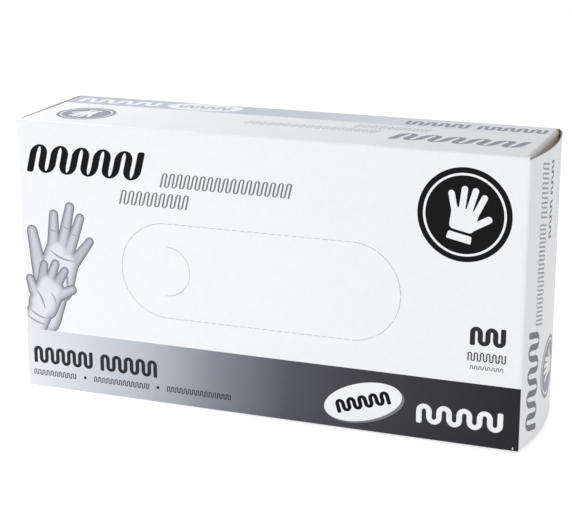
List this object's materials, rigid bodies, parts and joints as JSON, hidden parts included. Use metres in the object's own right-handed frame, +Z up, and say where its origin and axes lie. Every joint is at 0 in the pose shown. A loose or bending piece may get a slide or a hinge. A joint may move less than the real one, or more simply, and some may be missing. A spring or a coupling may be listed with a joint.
{
  "type": "glove dispenser carton",
  "caption": "Closed tuck-end folding carton of flat disposable gloves with a tear-out dispensing slot, standing on a long narrow side.",
  "frame": {"origin": "centre of the bottom panel's outer face, which the carton stands on", "axes": "+X along the carton's length to its right end as seen from the front, +Y from the front panel with the slot to the back panel, +Z up"},
  "size_m": [0.2444, 0.064, 0.13],
  "materials": {
    "printed_board": "satin",
    "raw_board": "matte",
    "dried_glue": "satin",
    "nitrile_film": "matte"
  },
  "bodies": {
    "carton": {"front_panel": "printed_board", "back_panel": "printed_board", "top_panel": "printed_board", "bottom_panel": "printed_board", "glue_flap": "raw_board", "glue_seam": "dried_glue", "glove_bundle_01": "nitrile_film", "glove_bundle_02": "nitrile_film", "glove_bundle_03": "nitrile_film", "glove_bundle_04": "nitrile_film", "glove_bundle_05": "nitrile_film", "glove_bundle_06": "nitrile_film", "glove_bundle_07": "nitrile_film", "glove_bundle_08": "nitrile_film", "glove_bundle_09": "nitrile_film", "glove_bundle_10": "nitrile_film"},
    "dispensing_panel": {"dispensing_panel": "printed_board"},
    "finger_tab": {"finger_tab": "printed_board"},
    "right_closure": {"right_end_panel": "printed_board"},
    "right_tuck": {"right_tuck_flap": "printed_board"},
    "right_upper_dust": {"right_upper_dust_flap": "printed_board"},
    "right_lower_dust": {"right_lower_dust_flap": "printed_board"},
    "left_closure": {"left_end_panel": "printed_board"},
    "left_tuck": {"left_tuck_flap": "printed_board"},
    "left_upper_dust": {"left_upper_dust_flap": "printed_board"},
    "left_lower_dust": {"left_lower_dust_flap": "printed_board"}
  },
  "joints": [
    {"name": "tear_out", "type": "slide", "parent": "carton", "child": "dispensing_panel", "axis": [0, -1, 0], "range_m": [0, 0.08]},
    {"name": "finger_tab_press", "type": "hinge", "parent": "dispensing_panel", "child": "finger_tab", "pos_m": [-0.04505, -0.0315, 0.0646], "axis": [0, 0, 1], "range_deg": [0, 35]},
    {"name": "right_closure_hinge", "type": "hinge", "parent": "carton", "child": "right_closure", "pos_m": [0.12, -0.032, 0.065], "axis": [0, 0, -1], "range_deg": [0, 150]},
    {"name": "right_tuck_crease", "type": "hinge", "parent": "right_closure", "child": "right_tuck", "pos_m": [0.12, 0.0312, 0.065], "axis": [0, 0, -1], "range_deg": [0, 60]},
    {"name": "right_upper_dust_crease", "type": "hinge", "parent": "carton", "child": "right_upper_dust", "pos_m": [0.1192, 0, 0.13], "axis": [0, -1, 0], "range_deg": [0, 90]},
    {"name": "right_lower_dust_crease", "type": "hinge", "parent": "carton", "child": "right_lower_dust", "pos_m": [0.1192, 0, 0], "axis": [0, 1, 0], "range_deg": [0, 90]},
    {"name": "left_closure_hinge", "type": "hinge", "parent": "carton", "child": "left_closure", "pos_m": [-0.12, -0.032, 0.065], "axis": [0, 0, 1], "range_deg": [0, 150]},
    {"name": "left_tuck_crease", "type": "hinge", "parent": "left_closure", "child": "left_tuck", "pos_m": [-0.12, 0.0312, 0.065], "axis": [0, 0, 1], "range_deg": [0, 60]},
    {"name": "left_upper_dust_crease", "type": "hinge", "parent": "carton", "child": "left_upper_dust", "pos_m": [-0.1192, 0, 0.13], "axis": [0, 1, 0], "range_deg": [0, 90]},
    {"name": "left_lower_dust_crease", "type": "hinge", "parent": "carton", "child": "left_lower_dust", "pos_m": [-0.1192, 0, 0], "axis": [0, -1, 0], "range_deg": [0, 90]}
  ],
  "couplings": [
    {"joint": "right_tuck_crease", "follows": "right_closure_hinge", "ratio": 0.4},
    {"joint": "right_upper_dust_crease", "follows": "right_closure_hinge", "ratio": 0.6},
    {"joint": "right_lower_dust_crease", "follows": "right_closure_hinge", "ratio": 0.6},
    {"joint": "left_tuck_crease", "follows": "left_closure_hinge", "ratio": 0.4},
    {"joint": "left_upper_dust_crease", "follows": "left_closure_hinge", "ratio": 0.6},
    {"joint": "left_lower_dust_crease", "follows": "left_closure_hinge", "ratio": 0.6}
  ]
}
